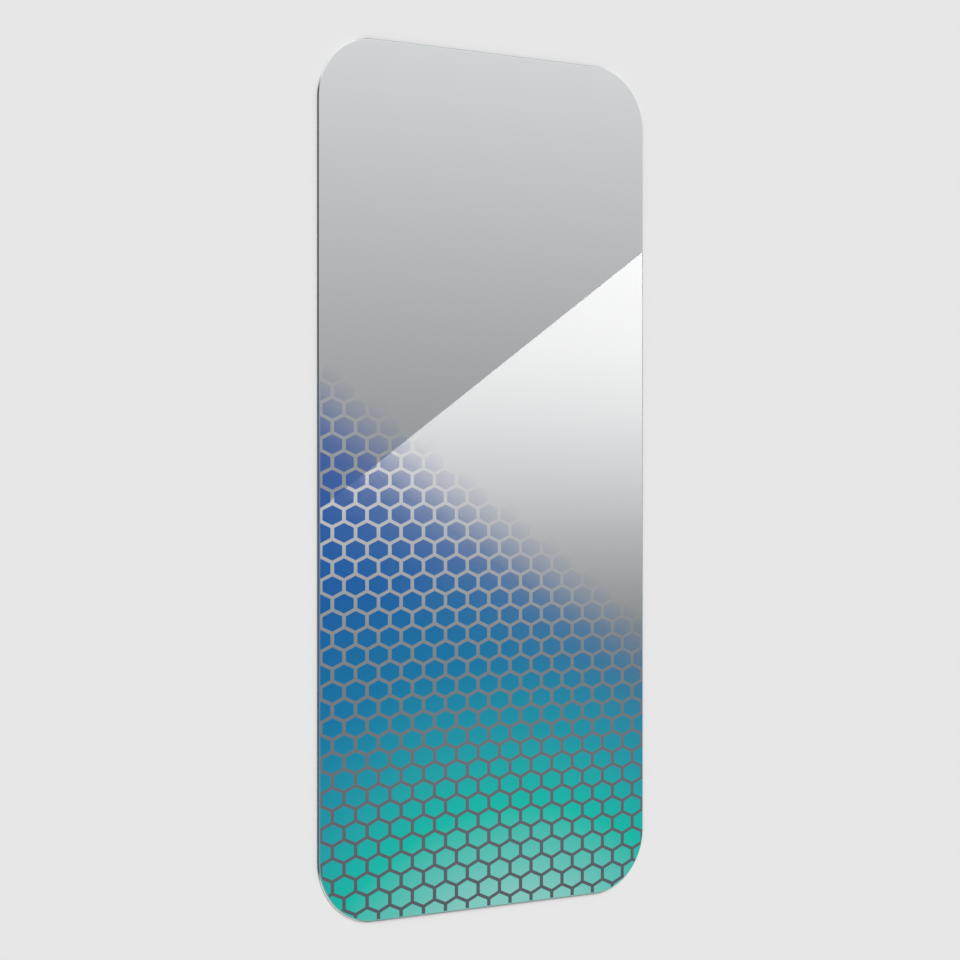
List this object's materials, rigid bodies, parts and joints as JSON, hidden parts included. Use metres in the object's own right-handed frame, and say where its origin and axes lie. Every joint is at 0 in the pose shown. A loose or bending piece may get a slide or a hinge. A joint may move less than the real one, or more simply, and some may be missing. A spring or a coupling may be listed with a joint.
{
  "type": "phone screen protector",
  "caption": "Thin rounded-rectangle glass sheet that covers a phone's screen, with a rounded front edge and a honeycomb print that runs from mint to indigo and fades out.",
  "frame": {"origin": "middle of the back face, the one that is stuck to the phone", "axes": "+X across the sheet, +Y along it towards the top of the phone, +Z out of the front face"},
  "size_m": [0.0714, 0.155, 0.0005],
  "materials": {
    "sheet_glass": "polished",
    "mint_ink": "satin",
    "sea_green_ink": "satin",
    "teal_ink": "satin",
    "blue_ink": "satin",
    "indigo_ink": "satin",
    "faded_ink": "satin"
  },
  "bodies": {
    "root": {"glass_sheet": "sheet_glass", "mint_cells": "mint_ink", "sea_green_cells": "sea_green_ink", "teal_cells": "teal_ink", "blue_cells": "blue_ink", "indigo_cells": "indigo_ink", "faded_cells": "faded_ink"}
  },
  "joints": []
}
